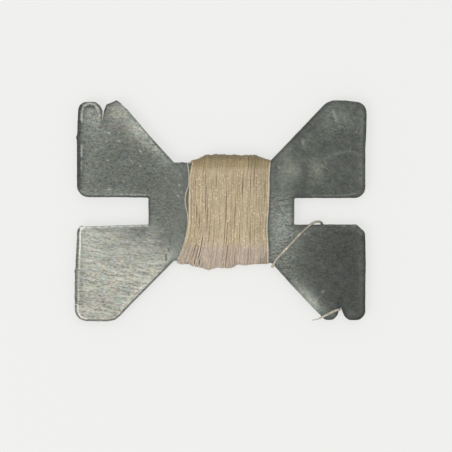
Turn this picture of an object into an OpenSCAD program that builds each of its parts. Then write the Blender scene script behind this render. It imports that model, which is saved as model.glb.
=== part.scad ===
/* [Card] */
// Overall width of the card, across its lobes
card_w = 72.6; // [68:0.2:84]
// Overall height of the card, across its lobes
card_h = 55.2; // [50:0.2:64]
// Thickness of the sheet metal
card_t = 1.2; // [1:0.1:1.6]
// Reach of the waist to the left of the card's middle
waist_left = 11.8; // [11:0.1:13]
// Reach of the waist to the right of the card's middle
waist_right = 12.5; // [12:0.1:14]
// Height of the waist that carries the winding
waist_h = 25; // [22:0.2:28]
// How far the waist sits below the card's middle
waist_drop = 0.4; // [0:0.1:1]
// Width of a plain lobe along the card's top or bottom
lobe_w = 9.5; // [8:0.1:11]
// Radius where a plain lobe's top meets its slanted side
shoulder_r = 3.4; // [1:0.1:5]
// Radius of the lobes' outer corners
lobe_r = 2.4; // [1:0.1:3]
// Radius where the slanted sides meet the waist
waist_r = 1; // [0.4:0.1:2]

/* [Slots] */
// Depth of the slot in each end of the card
slot_depth = 18.1; // [12:0.1:20]
// Height of the slots
slot_h = 6.8; // [5:0.1:9]
// How much lower the left slot's mouth is cut than its inner end
slot_flare = 0.9; // [0:0.1:1.5]
// Radius in the slots' inner corners
slot_r = 0.3; // [0.2:0.1:1]
// Radius of the plain lobes' corners at the slot mouths
mouth_r = 1.5; // [0.5:0.1:2.5]

/* [Notches] */
// Distance from the card's end to the middle of the notch
finger_w = 6.6; // [6:0.1:7.4]
// How far the finger ends short of the card's edge
finger_short = 0.3; // [0:0.1:1]
// Radius of the finger's outer corner
finger_r = 2.1; // [1:0.1:2.4]
// Radius of the finger's corner at the notch
finger_tip_r = 2.4; // [1:0.1:2.6]
// Depth of the notch below the finger's end
notch_depth = 3.7; // [3:0.1:6]
// How far the notch widens towards the finger
notch_taper = 0.4; // [0.3:0.1:0.8]
// How far the notch widens towards the tab
notch_spread = 1.2; // [0.9:0.1:1.5]
// How far the tab's corner lies below the finger's end
tab_short = 0.3; // [0:0.1:1]
// Depth of the slit below the notch
slit_depth = 1.8; // [1:0.1:3]
// Width of the slit
slit_w = 0.3; // [0.2:0.05:0.4]
// How far the slit leans towards the finger
slit_lean = 0.4; // [0:0.1:0.8]
// Distance from the card's end to the tab's peak
tab_w = 10.3; // [9.5:0.1:11]

/* [Wire] */
// Diameter of the wire
wire_d = 0.55; // [0.4:0.05:0.65]
// Width of the winding where it crosses the upper edge
winding_w = 20; // [17:0.5:21]
// Bare stretch of the waist to the right of the winding
bare_right = 0.55; // [0.4:0.05:1.5]
// Bare stretch of the waist to the left of the splayed turns, on the lower edge
bare_left = 0.75; // [0.5:0.05:2]
// Clear gap between neighbouring turns of the outer layer
turn_gap = 0.42; // [0.41:0.01:0.6]
// Thickness of the inner layers on the card's faces
core_t = 1.44; // [0.8:0.02:2]
// Height of the inner layers above the waist's upper edge
core_up = 1.4; // [0.8:0.1:2]
// Depth of the inner layers below the waist's lower edge
core_down = 1.2; // [0.8:0.1:2]
// Turns over which the inner layers thicken from the left
thin_left = 7; // [4:1:8]
// Turns over which the inner layers thin out to the right
thin_right = 5; // [3:1:7]
// Number of turns that splay to the left towards the lower edge
splay_turns = 7; // [4:1:9]
// How far the slack strand bows out of the first turn
slack = 0.8; // [0.3:0.1:1]

/* [Hidden] */

metal_colour = [0.44, 0.46, 0.43];
core_colour = [0.62, 0.55, 0.43];
wire_colour = [0.71, 0.64, 0.52];

// Most turns that the outer layer is drawn with
max_turns = 24;
// Angle of one step round a rounded corner
arc_step = 12;
// Steps up or down a face in one turn of wire
run_steps = 5;
// Steps round one corner of the waist in one turn of wire
corner_steps = 3;
// Angle of one of those steps
corner_angle = 90 / corner_steps;
// Steps over one edge: two corners and the flat between them
end_steps = 2 * corner_steps + 1;
// Steps in one turn
turn_steps = 2 * (run_steps + end_steps);
// Sides of the wire in the winding, and in the free lead
turn_sides = 6;
tail_sides = 8;
// Thickness of the inner layers where they end, and the wire's clearance over them
core_skin = 0.15;
seat_gap = 0.05;
// Depth of the flat where the winding stands, as a share of the wire's diameter
foot_share = 0.1;
// Flat stretch of a turn across the card's edge, and how much thicker the card is
edge_ease = 0.2;
edge_flat = card_t - edge_ease;
// How the splay grows along a strand, and fades from turn to turn
splay_power = 2.3;
fade_power = 2.2;
// Height above the waist's middle where strands begin to splay, as a share of the waist
splay_start = 0.1;
// Middle and half length of the slack strand's bow
slack_y = 3.2;
slack_reach = 3.6;
// Longest stretch of an edge that a rounded corner may take
corner_share = 0.7;
// Radius of the upper tab's corners, which are sharp, and of the lower tab's
sharp_tab_r = 0.35;
round_tab_r = 1.6;

outer_x = card_w / 2;
outer_y = card_h / 2;
slot_x = outer_x - slot_depth;
slot_y = slot_h / 2;
waist_top = waist_h / 2 - waist_drop;
waist_low = -waist_h / 2 - waist_drop;
winding_right = waist_right - bare_right;
winding_left = winding_right - winding_w;
splay = winding_left + waist_left - bare_left;
turns = min(max_turns, 1 + floor((winding_w - wire_d) / (wire_d + turn_gap)));
pitch = (winding_w - wire_d) / (turns - 1);
// Distance of the wire's centre from what it lies on
wire_seat = wire_d / 2 + seat_gap;
// Distance of a flat side of the six-sided wire from its centre
wire_flat = wire_d / 2 * cos(180 / turn_sides);
// Height of the card's middle plane above the surface that the winding stands on
mid_z = card_t / 2 + core_skin + core_t + wire_seat + wire_flat - foot_share * wire_d;

// Route of the free lead, from the back of the winding to its bare end
tail_points = [
    // down the back of the waist
    [12.7, -7.3, 1.6],
    [12.9, -8.9, 1.65],
    [13, -10.5, 1.7],
    [13.1, -12.1, 1.72],
    // round the lower edge
    [13.2, -13.2, 1.72],
    [13.05, -13.75, 1.75],
    [12.85, -13.95, 2.3],
    [12.85, -13.95, 3.1],
    [13.05, -13.75, 3.65],
    // across the front of the lobe
    [13.35, -13, 3.62],
    [14, -12, 3.6],
    [15.1, -10.8, 3.6],
    [16.2, -9.65, 3.6],
    [17.3, -8.5, 3.6],
    [18.4, -7.3, 3.6],
    [19.5, -6.1, 3.6],
    [20.6, -5.05, 3.6],
    [21.7, -4.1, 3.6],
    // over the edge of the right slot
    [22.7, -3.3, 3.68],
    [23.6, -2.85, 3.5],
    [24.4, -2.75, 2.9],
    [24.9, -2.85, 2.2],
    [25.3, -3.3, 1.75],
    // down the back of the lobe
    [25.8, -4.6, 1.75],
    [26.2, -6.2, 1.75],
    [26.5, -7.8, 1.75],
    [26.9, -9.4, 1.75],
    [27.2, -11, 1.75],
    [27.5, -12.6, 1.75],
    [27.8, -14.2, 1.75],
    [28.2, -15.8, 1.75],
    [28.5, -17.4, 1.75],
    [28.8, -19, 1.75],
    [29.1, -20.6, 1.75],
    [29.4, -22.2, 1.75],
    // forward through the notch
    [29.55, -23.6, 1.72],
    [29.6, -24.5, 1.95],
    [29.6, -24.75, 2.7],
    [29.55, -24.75, 3.4],
    [29.1, -24.8, 3.72],
    // across the tab to the bare end
    [28.2, -25.15, 3.62],
    [26.9, -25.8, 3.6],
    [25.5, -26.5, 3.6],
    [24.2, -27.1, 3.55],
    [22.8, -27.4, 3.45]
];

function unit(v) = v / norm(v);
function xy(p) = [p.x, p.y];
function turned(corners) = [for (c = corners) [-c.x, -c.y, c.z]];
function wrapped(angle) = angle > 180 ? angle - 360 : angle < -180 ? angle + 360 : angle;

// Points of the arc that rounds one corner [x, y, radius], between the corners before and after it.
function corner_arc(before, at, after) =
    let (
        back = xy(before) - xy(at),
        on = xy(after) - xy(at),
        half = acos(unit(back) * unit(on)) / 2,
        longest = corner_share * min(norm(back), norm(on)),
        reach = min(at.z / tan(half), longest),
        centre = xy(at) + unit(unit(back) + unit(on)) * reach / cos(half),
        first = xy(at) + unit(back) * reach - centre,
        last = xy(at) + unit(on) * reach - centre,
        start = atan2(first.y, first.x),
        sweep = wrapped(atan2(last.y, last.x) - start),
        steps = ceil(abs(sweep) / arc_step)
    )
    [
        for (k = [0 : steps])
        let (angle = start + sweep * k / steps)
        centre + norm(first) * [cos(angle), sin(angle)]
    ];

// A closed outline from its corners [x, y, radius].
function rounded(corners) =
    let (n = len(corners))
    [for (i = [0 : n - 1]) each corner_arc(corners[(i + n - 1) % n], corners[i], corners[(i + 1) % n])];

// Corners of one half of the card, from the inner end of the left slot to that of the right one.
function half_card(waist_y, reach_left, reach_right, flare, tab_r) =
    let (
        notch_x = -outer_x + finger_w,
        finger_y = outer_y - finger_short,
        notch_y = finger_y - notch_depth,
        slit_x = notch_x - slit_lean,
        slit_y = notch_y - slit_depth
    )
    [
        [-slot_x, slot_y, slot_r],
        [-outer_x, slot_y, lobe_r],
        [-outer_x, finger_y, finger_r],
        [notch_x - notch_taper, finger_y, finger_tip_r],
        [notch_x - slit_w / 2, notch_y, slit_w],
        [slit_x - slit_w / 2, slit_y, slit_w / 4],
        [slit_x + slit_w / 2, slit_y, slit_w / 4],
        [notch_x + slit_w / 2, notch_y, slit_w],
        [notch_x + notch_spread, finger_y - tab_short, tab_r],
        [-outer_x + tab_w, outer_y, tab_r],
        [-reach_left, waist_y, waist_r],
        [reach_right, waist_y, waist_r],
        [outer_x - lobe_w, outer_y, shoulder_r],
        [outer_x, outer_y, lobe_r],
        [outer_x, slot_y + flare, mouth_r],
        [slot_x, slot_y, slot_r]
    ];

card_corners = concat(
    half_card(waist_top, waist_left, waist_right, 0, sharp_tab_r),
    turned(half_card(-waist_low, waist_right, waist_left, slot_flare, round_tab_r))
);

// A step over an edge of the waist: outwards, and to the front.
function end_step(j, r) =
    let (first = j <= corner_steps, angle = corner_angle * (first ? j : j - 1))
    [r * sin(angle), (first ? edge_flat : -edge_flat) / 2 + r * cos(angle)];

// Place [y, z] of step q of a turn between the heights top and low, round corners of radius r.
function turn_place(q, top, low, r) =
    let (
        step = (top - low - 2 * r) / run_steps,
        up_end = run_steps,
        over_end = up_end + end_steps,
        down_end = over_end + run_steps,
        over = end_step(q - up_end, r),
        under = end_step(q - down_end, r)
    )
    q < up_end ? [low + r + step * q, edge_flat / 2 + r]
    : q < over_end ? [top - r + over.x, over.y]
    : q < down_end ? [top - r - step * (q - over_end), -edge_flat / 2 - r]
    : [low + r - under.x, -under.y];

function smooth(t) = let (s = max(0, min(1, t))) s * s * (3 - 2 * s);

// Share of the inner layers' full thickness under turn number n.
function fullness(n) = smooth(n / thin_left) * smooth((turns - 1 - n) / thin_right);

// How far a strand of turn n is splayed to the left at height y.
function splay_at(n, y) =
    let (
        start = waist_top + waist_low + splay_start * waist_h,
        along = max(0, start - y) / (start - waist_low),
        fade = max(0, 1 - max(0, n) / splay_turns)
    )
    splay * pow(min(1, along), splay_power) * pow(fade, fade_power);

// The point at step q of turn n, which need not be whole, a distance off the inner layers' surface.
function strand_point(n, q, off) =
    let (
        full = fullness(n),
        r = edge_ease / 2 + core_skin + core_t * full + off,
        top = waist_top + core_skin + core_up * full + off,
        low = waist_low - core_skin - core_down * full - off,
        place = turn_place(q, top, low, r)
    )
    [winding_left + wire_d / 2 + pitch * n - splay_at(n, place.x), place.x, mid_z + place.y];

// The point at step k, counted from the start of the first turn.
function turn_point(k, off) =
    let (n = k / turn_steps)
    strand_point(n, k - turn_steps * floor(n), off);

// The slack strand on the front of the first turn.
function bow(k, y) = k > 0 && k < run_steps ? slack * max(0, 1 - pow((y - slack_y) / slack_reach, 2)) : 0;

first_step = -(end_steps + floor(run_steps / 2));
last_step = turn_steps * turns - end_steps - floor(run_steps / 2);

// The wire's start stands square on the inner layers at the back, one diameter tall.
start_foot = turn_point(first_step, 0);
start_rise = start_foot - [0, 0, wire_d];
// Its end runs straight into the free lead for one diameter.
tail_way = unit(tail_points[1] - tail_points[0]);
turn_path = concat(
    [start_foot, start_rise],
    [
        for (k = [first_step + 1 : last_step - 1])
        let (p = turn_point(k, wire_seat))
        p - [bow(k, p.y), 0, 0]
    ],
    [tail_points[0] - tail_way * wire_d, tail_points[0]]
);

// Least distance between the wire's surfaces in neighbouring turns, measured on the path's points.
least_gap = min([
    for (i = [0 : len(turn_path) - 1])
    for (j = [i + turn_steps / 2 : 1 : min(i + turn_steps * 3 / 2, len(turn_path) - 1)])
    norm(turn_path[i] - turn_path[j])
]) - wire_d;
echo(turns = turns, least_gap = least_gap);

// Direction of a path at point i.
function way(path, i) =
    let (last = len(path) - 1)
    i == 0 ? unit(path[1] - path[0])
    : i == last ? unit(path[last] - path[last - 1])
    : unit(unit(path[i + 1] - path[i]) + unit(path[i] - path[i - 1]));

// A direction made square to the way.
function squared(v, w) = unit(v - (v * w) * w);

// A ring of points round a path's point, the first one towards side.
function ring(at, side, w, r, sides) =
    let (up = cross(w, side))
    [for (s = [0 : sides - 1]) at + r * (cos(360 * s / sides) * side + sin(360 * s / sides) * up)];

// Triangles of a tube with closed ends.
function tube_faces(rings, sides) =
    let (end = (rings - 1) * sides)
    concat(
        [
            for (i = [0 : rings - 2])
            for (s = [0 : sides - 1])
            let (a = i * sides + s, b = i * sides + (s + 1) % sides)
            each [[a, b + sides, b], [a, a + sides, b + sides]]
        ],
        [for (s = [1 : sides - 2]) [0, s, s + 1]],
        [for (s = [1 : sides - 2]) [end, end + s + 1, end + s]]
    );

// The inner layers of the winding, a plain body wrapped closely round the waist.
module wire_core() {
    rings = [for (n = [0 : turns - 1]) [for (q = [0 : turn_steps - 1]) strand_point(n, q, 0)]];
    ends = [for (r = [rings[0], rings[turns - 1]]) [r[0].x, 0, mid_z]];
    points = concat([for (r = rings) each r], ends);
    last = turn_steps * (turns - 1);
    skin = [
        for (i = [0 : turn_steps : last - turn_steps])
        for (q = [0 : turn_steps - 1])
        let (a = i + q, b = i + (q + 1) % turn_steps)
        each [[a, b, b + turn_steps], [a, b + turn_steps, a + turn_steps]]
    ];
    caps = [
        for (q = [0 : turn_steps - 1])
        let (next = (q + 1) % turn_steps)
        each [[len(points) - 2, next, q], [len(points) - 1, last + q, last + next]]
    ];
    color(core_colour)
    difference() {
        polyhedron(points, concat(skin, caps));
        card_solid();
    }
}

module card_solid() {
    translate([0, 0, mid_z - card_t / 2])
    linear_extrude(card_t)
    polygon(rounded(card_corners));
}

// The flat winding card, stamped from one sheet of metal.
module winding_card() {
    color(metal_colour)
    card_solid();
}

// The outer layer of turns, one unbroken wire, flattened where the winding stands.
module wire_turns() {
    rings = [
        for (i = [0 : len(turn_path) - 1])
        let (w = way(turn_path, i))
        ring(turn_path[i], squared([1, 0, 0], w), w, wire_d / 2, turn_sides)
    ];
    points = [for (r = rings) for (p = r) [p.x, p.y, max(0, p.z)]];
    color(wire_colour)
    polyhedron(points, tube_faces(len(rings), turn_sides));
}

// The free lead: round the lower edge, over the slot's edge, behind the lobe and out through the notch.
module wire_tail() {
    last = len(tail_points) - 1;
    ways = [for (i = [0 : last]) way(tail_points, i)];
    sides = [
        for (
            i = 0, v = squared([1, 0, 0], ways[0]);
            i <= last;
            i = i + 1, v = squared(v, ways[min(i, last)])
        ) v
    ];
    points = [
        for (i = [0 : last])
        each ring(tail_points[i], sides[i], ways[i], wire_d / 2, tail_sides)
    ];
    color(wire_colour)
    polyhedron(points, tube_faces(last + 1, tail_sides));
}

winding_card();
wire_core();
wire_turns();
wire_tail();
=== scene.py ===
import math

import bpy
import numpy as np
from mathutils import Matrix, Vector, geometry, kdtree, noise


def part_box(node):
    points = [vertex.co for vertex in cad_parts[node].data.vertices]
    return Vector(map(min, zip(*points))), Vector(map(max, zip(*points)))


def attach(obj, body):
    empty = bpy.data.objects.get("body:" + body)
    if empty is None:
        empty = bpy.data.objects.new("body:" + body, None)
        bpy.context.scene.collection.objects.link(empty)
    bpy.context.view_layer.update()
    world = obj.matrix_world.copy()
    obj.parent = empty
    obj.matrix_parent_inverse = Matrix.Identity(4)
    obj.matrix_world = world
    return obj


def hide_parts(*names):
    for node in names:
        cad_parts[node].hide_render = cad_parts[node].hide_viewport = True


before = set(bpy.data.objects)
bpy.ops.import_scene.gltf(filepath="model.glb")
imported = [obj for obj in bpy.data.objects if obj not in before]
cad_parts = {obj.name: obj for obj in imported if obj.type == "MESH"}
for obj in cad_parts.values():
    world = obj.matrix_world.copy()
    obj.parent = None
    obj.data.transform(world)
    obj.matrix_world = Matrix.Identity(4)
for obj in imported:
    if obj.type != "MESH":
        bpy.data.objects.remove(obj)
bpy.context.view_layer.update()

# Sizes are in millimetres
MM = 0.001
CARD_LOW, CARD_TOP = (round(corner.z / MM, 3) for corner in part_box("winding_card"))


def srgb(level):
    """A display level from 0 to 255 as linear light."""
    c = np.asarray(level, float) / 255
    return np.where(c <= 0.04045, c / 12.92, ((c + 0.055) / 1.055) ** 2.4)


def smooth(t):
    """A smooth rise from 0 at t = 0 to 1 at t = 1."""
    t = np.clip(t, 0, 1)
    return t * t * (3 - 2 * t)


def step(a, b, reach):
    """0 while a is under b, rising smoothly to 1 where it is the reach above."""
    return smooth((a - b) / reach)


def bell(distance, reach):
    """1 at no distance, fading out over the reach."""
    return np.exp(-(distance / reach) ** 2)


def wander(along, row, pitch):
    """Smooth noise from -1 to 1 along a line, one for each row."""
    return np.array([noise.noise(Vector((a / pitch, row * 7.31 + 0.37, row * 1.7))) for a in np.ravel(along)])


def patchy(along, row, pitch, mean, swing, low, high):
    """A strength that wanders about its mean, between two limits."""
    return np.clip(mean + swing * wander(along, row, pitch), low, high)


def profile(table, at):
    """Values between the (place, value) rows of a table."""
    return np.interp(at, *zip(*table))


def running_length(path):
    return np.concatenate([[0], np.cumsum(np.linalg.norm(np.diff(path, axis=0), axis=1))])


def add_object(name, data):
    o = bpy.data.objects.new(name, data)
    bpy.context.scene.collection.objects.link(o)
    return o


def set_attribute(mesh, name, values):
    """A number or a colour for each point of the mesh."""
    values = np.asarray(values, np.float32)
    if values.ndim == 1:
        mesh.attributes.new(name, "FLOAT", "POINT").data.foreach_set("value", values)
    else:
        colours = np.column_stack([values, np.ones(len(values), np.float32)])
        mesh.attributes.new(name, "FLOAT_COLOR", "POINT").data.foreach_set("color", colours.ravel())


# ---- camera, light and floor

# Width and middle of the picture at the card
VIEW_MM = 113.0
VIEW_X, VIEW_Y = 1.25, -3.85
CAMERA_Z = 800.0
SENSOR = 36

camera = add_object("camera", bpy.data.cameras.new("camera"))
camera.location = (VIEW_X * MM, VIEW_Y * MM, CAMERA_Z * MM)
camera.data.sensor_width = SENSOR
camera.data.lens = SENSOR * (CAMERA_Z - CARD_TOP) / VIEW_MM
camera.data.clip_start = 0.05
camera.data.clip_end = 20
bpy.context.scene.camera = camera
bpy.context.scene.view_settings.view_transform = "Standard"


def set_sockets(node, **values):
    """Sets a node's sockets by name, with _ for a space."""
    for name, value in values.items():
        node.inputs[name.replace("_", " ")].default_value = value


def node_material(name):
    mat = bpy.data.materials.new(name)
    mat.use_nodes = True
    tree = mat.node_tree
    return mat, Graph(tree), tree.nodes["Principled BSDF"]


class Graph:
    """Short calls that build one material's nodes."""

    def __init__(self, tree):
        self.tree = tree

    def node(self, kind, **values):
        n = self.tree.nodes.new("ShaderNode" + kind)
        for k, v in values.items():
            setattr(n, k, v)
        return n

    def put(self, socket, value):
        if isinstance(value, bpy.types.NodeSocket):
            self.tree.links.new(value, socket)
        else:
            socket.default_value = value

    def math(self, op, a, b=0.0, c=None, clamp=False):
        n = self.node("Math", operation=op, use_clamp=clamp)
        self.put(n.inputs[0], a)
        self.put(n.inputs[1], b)
        if c is not None:
            self.put(n.inputs[2], c)
        return n.outputs[0]

    def times(self, a, b, clamp=False):
        return self.math("MULTIPLY", a, b, clamp=clamp)

    def times_plus(self, a, b, c):
        return self.math("MULTIPLY_ADD", a, b, c)

    def ramp(self, value, low, high, to_low=0.0, to_high=1.0):
        n = self.node("MapRange", interpolation_type="SMOOTHSTEP")
        self.put(n.inputs["Value"], value)
        set_sockets(n, From_Min=low, From_Max=high, To_Min=to_low, To_Max=to_high)
        return n.outputs["Result"]

    def mix(self, kind, factor, a, b):
        n = self.node("Mix", data_type="RGBA", blend_type=kind)
        for k, value in ((0, factor), (6, a), (7, b)):
            self.put(n.inputs[k], value)
        return n.outputs[2]

    def rgb(self, *values):
        n = self.node("CombineColor")
        for socket, value in zip(n.inputs, values):
            self.put(socket, value)
        return n.outputs[0]

    def place(self, scale, turn=0.0, shift=(0, 0, 0)):
        """Object coordinates in millimetres, turned about Z and scaled."""
        turned = self.node("Mapping", vector_type="POINT")
        set_sockets(turned, Rotation=(0, 0, math.radians(turn)))
        self.put(turned.inputs["Vector"], self.node("TexCoord").outputs["Object"])
        scaled = self.node("Mapping", vector_type="POINT")
        set_sockets(scaled, Scale=[s / MM for s in scale], Location=shift)
        self.put(scaled.inputs["Vector"], turned.outputs[0])
        return scaled.outputs[0]

    def noise(self, where, detail=4.0, rough=0.55, distort=0.0):
        n = self.node("TexNoise")
        set_sockets(n, Scale=1, Detail=detail, Roughness=rough, Distortion=distort)
        self.put(n.inputs["Vector"], where)
        return n.outputs[0]

    def attribute(self, name, part="Fac"):
        return self.node("Attribute", attribute_name=name).outputs[part]

    def bump(self, shader, height, strength, distance):
        n = self.node("Bump")
        set_sockets(n, Strength=strength, Distance=distance * MM)
        self.put(n.inputs["Height"], height)
        self.put(shader.inputs["Normal"], n.outputs[0])

    def surface(self, output, factor, first, second):
        """Mixes two shaders into the output's surface."""
        n = self.node("MixShader")
        for socket, value in zip(n.inputs, (factor, first.outputs[0], second.outputs[0])):
            self.put(socket, value)
        self.put(self.tree.nodes[output].inputs["Surface"], n.outputs[0])


BACKGROUND = (*srgb((242, 242, 240)), 1)
FLOOR_HALF = 3.0
FLOOR_PLAIN = 0.74


def light_world():
    """An even sky that the camera sees as the plain background."""
    world = bpy.context.scene.world = bpy.data.worlds.new("studio")
    world.use_nodes = True
    g = Graph(world.node_tree)
    sky = world.node_tree.nodes["Background"]
    set_sockets(sky, Color=(0.97, 0.985, 1.0, 1), Strength=0.6)
    backdrop = g.node("Background")
    set_sockets(backdrop, Color=BACKGROUND)
    rays = g.node("LightPath").outputs
    seen = g.math("MAXIMUM", rays["Is Camera Ray"], rays["Is Transmission Ray"])
    g.surface("World Output", seen, sky, backdrop)


def lamp(name, place, size, watts, colour):
    """A square lamp that faces the middle, in metres."""
    data = bpy.data.lights.new(name, "AREA")
    data.shape = "SQUARE"
    data.size = size
    data.energy = watts
    data.color = colour
    o = add_object(name, data)
    o.location = place
    o.rotation_euler = (-Vector(place)).to_track_quat("-Z", "Y").to_euler()


def floor_material():
    """Pale paper, whose plain colour softens its shadows for the camera alone."""
    mat, g, shader = node_material("floor_paper")
    set_sockets(shader, Base_Color=(0.90, 0.90, 0.89, 1), Roughness=0.9, Specular_IOR_Level=0.1)
    plain = g.node("Emission")
    set_sockets(plain, Color=BACKGROUND)
    seen = g.node("LightPath").outputs["Is Camera Ray"]
    g.surface("Material Output", g.times(seen, FLOOR_PLAIN), shader, plain)
    return mat


light_world()
lamp("key", (-0.55, -0.45, 1.05), 0.7, 4.4, (1.0, 0.985, 0.96))
lamp("top", (0.15, 0.35, 1.25), 0.9, 2.8, (0.98, 0.99, 1.0))

floor_mesh = bpy.data.meshes.new("floor")
floor_corners = [(FLOOR_HALF * x, FLOOR_HALF * y, 0) for x, y in ((-1, -1), (1, -1), (1, 1), (-1, 1))]
floor_mesh.from_pydata(floor_corners, [], [(0, 1, 2, 3)])
floor_mesh.materials.append(floor_material())
floor = add_object("floor", floor_mesh)


# ---- the wire's surface

WIRE_D = 0.55
PLIES = 2.0
PLY_TURN = 0.57
# colour of the glints painted into the wire
GLINT_COLOUR = (0.93, 0.83, 0.62, 1)
SIDES, INNER_SIDES = 10, 6


def wire_material(name, glints):
    """Tan wire of fine twisted plies, with glints of the given strength painted into its colour."""
    mat, g, shader = node_material(name)
    strand = g.node("SeparateXYZ")
    g.put(strand.inputs[0], g.node("UVMap", uv_map="strand").outputs[0])
    phase = g.math("ADD", g.times(strand.outputs["X"], PLIES), g.times(strand.outputs["Y"], 1 / PLY_TURN))
    twist = g.ramp(g.math("SINE", g.times(phase, 2 * math.pi)), -1.0, 0.6)
    fine = g.noise(g.place((2.7, 2.3, 2.7)), detail=3, rough=0.6)
    broad = g.noise(g.place((0.9, 0.35, 0.9), shift=(4, 9, 2)), detail=3)
    shade = g.times_plus(twist, 0.16, 0.90)
    shade = g.times(shade, g.ramp(fine, 0.28, 0.72, 0.80, 1.18))
    shade = g.times(shade, g.ramp(broad, 0.3, 0.7, 0.92, 1.08))
    colour = g.mix("MULTIPLY", 1.0, g.attribute("tone", "Color"), g.rgb(shade, shade, shade))
    # painted glints: pale specks mixed into the wire's colour, in small cells
    cells = g.node("TexVoronoi", feature="F1")
    set_sockets(cells, Scale=1)
    g.put(cells.inputs["Vector"], g.place((1.7, 1.6, 1.7), shift=(17, 3, 8)))
    chance = g.node("SeparateColor")
    g.put(chance.inputs[0], cells.outputs["Color"])
    spark = g.times(g.ramp(cells.outputs["Distance"], 0.16, 0.37, 1.0, 0.0), g.attribute("glint"))
    spark = g.times(spark, g.ramp(chance.outputs[0], 0.3, 0.9, 0.1, 1.0))
    g.put(shader.inputs["Base Color"], g.mix("MIX", g.times(spark, glints), colour, GLINT_COLOUR))
    g.put(shader.inputs["Roughness"], g.ramp(spark, 0.0, 1.0, 0.55, 0.30))
    set_sockets(shader, Metallic=0.2, Specular_IOR_Level=0.35)
    g.bump(shader, g.times_plus(fine, 0.5, twist), strength=0.45, distance=0.04)
    return mat


def tube_mesh(name, paths, radii, sides, tones, glints):
    """Closed tubes along paths, with a UV map of turns round and length along."""
    points, faces, uvs = [], [], []
    angles = np.linspace(0, 2 * math.pi, sides, endpoint=False)
    for path, radius in zip(paths, radii):
        way = np.gradient(path, axis=0)
        way /= np.linalg.norm(way, axis=1)[:, None]
        side = np.cross(way[0], (0.3, 0.2, 0.93))
        side /= np.linalg.norm(side)
        start, count = len(points), len(path)
        length = running_length(path)
        radius = np.broadcast_to(radius, count)
        for i in range(count):
            side = side - way[i] * (side @ way[i])
            side /= np.linalg.norm(side)
            up = np.cross(way[i], side)
            points += [path[i] + radius[i] * (math.cos(a) * side + math.sin(a) * up) for a in angles]
        for i in range(count - 1):
            for s in range(sides):
                a, b = start + i * sides + s, start + i * sides + (s + 1) % sides
                faces.append((a, b, b + sides, a + sides))
                uvs += [((s + u) / sides, length[i + v]) for u, v in ((0, 0), (1, 0), (1, 1), (0, 1))]
        for i, turn in ((0, -1), (count - 1, 1)):
            ring = [start + i * sides + s for s in range(sides)]
            faces.append(tuple(ring[::turn]))
            uvs += [(0.5 + 0.1 * math.cos(a), length[i] + 0.1 * math.sin(a)) for a in angles[::turn]]
    mesh = bpy.data.meshes.new(name)
    mesh.from_pydata([tuple(p * MM) for p in points], [], faces)
    mesh.uv_layers.new(name="strand").data.foreach_set("uv", np.ravel(uvs))
    set_attribute(mesh, "tone", np.repeat(np.vstack(tones), sides, axis=0))
    set_attribute(mesh, "glint", np.repeat(np.concatenate(glints), sides))
    mesh.shade_smooth()
    return add_object(name, mesh)


def curved(points, steps):
    """A smooth curve through the points."""
    p = np.asarray(points, float)
    p = np.vstack([2 * p[0] - p[1], p, 2 * p[-1] - p[-2]])
    made = []
    for before, here, there, after in zip(p, p[1:], p[2:], p[3:]):
        for k in range(steps):
            t = k / steps
            bend = (2 * before - 5 * here + 4 * there - after) * t * t
            bend += (3 * here - before - 3 * there + after) * t ** 3
            made.append(0.5 * (2 * here + (there - before) * t + bend))
    made.append(p[-2])
    return np.array(made)


# ---- the free lead

TAIL = [
    (12.7, -7.3, 1.6), (12.9, -8.9, 1.65), (13, -10.5, 1.7), (13.1, -12.1, 1.72), (13.2, -13.2, 1.72),
    (13.05, -13.75, 1.75), (12.85, -13.95, 2.3), (12.85, -13.95, 3.1), (13.05, -13.75, 3.65),
    (13.35, -13, 3.62), (14, -12, 3.6), (15.1, -10.8, 3.6), (16.2, -9.65, 3.6), (17.3, -8.5, 3.6),
    (18.4, -7.3, 3.6), (19.5, -6.1, 3.6), (20.6, -5.05, 3.6), (21.7, -4.1, 3.6), (22.7, -3.3, 3.68),
    (23.6, -2.85, 3.5), (24.4, -2.75, 2.9), (24.9, -2.85, 2.2), (25.3, -3.3, 1.75), (25.8, -4.6, 1.75),
    (26.2, -6.2, 1.75), (26.5, -7.8, 1.75), (26.9, -9.4, 1.75), (27.2, -11, 1.75), (27.5, -12.6, 1.75),
    (27.8, -14.2, 1.75), (28.2, -15.8, 1.75), (28.5, -17.4, 1.75), (28.8, -19, 1.75), (29.1, -20.6, 1.75),
    (29.4, -22.2, 1.75), (29.55, -23.6, 1.72), (29.6, -24.5, 1.95), (29.6, -24.75, 2.7),
    (29.55, -24.75, 3.4), (29.1, -24.8, 3.72), (28.2, -25.15, 3.62), (26.9, -25.8, 3.6), (25.5, -26.5, 3.6),
    (24.2, -27.1, 3.55), (22.8, -27.4, 3.45),
]
# Display level of the lead by point of its route
LEAD_LEVELS = [
    (0, 160), (9, 186), (11, 176), (13, 168), (15, 156), (17, 150), (18, 160), (20, 178), (23, 150),
    (38, 165), (41, 186), (44, 206),
]
LEAD_TINT = (1.02, 0.985, 0.90)
# Painted highlights on the lead: their places, their reach, and the display levels added there
LEAD_GLINTS = [(19.6, -6.0, 3.6), (15.7, -10.2, 3.6), (16.3, -9.5, 3.6)]
GLINT_REACH, GLINT_LEVELS = 0.45, 42
LEAD_STEPS = 4
LEAD_WIDER = 1.18
TIP_SHARE, TIP_THINNER = 0.07, 0.62

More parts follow.
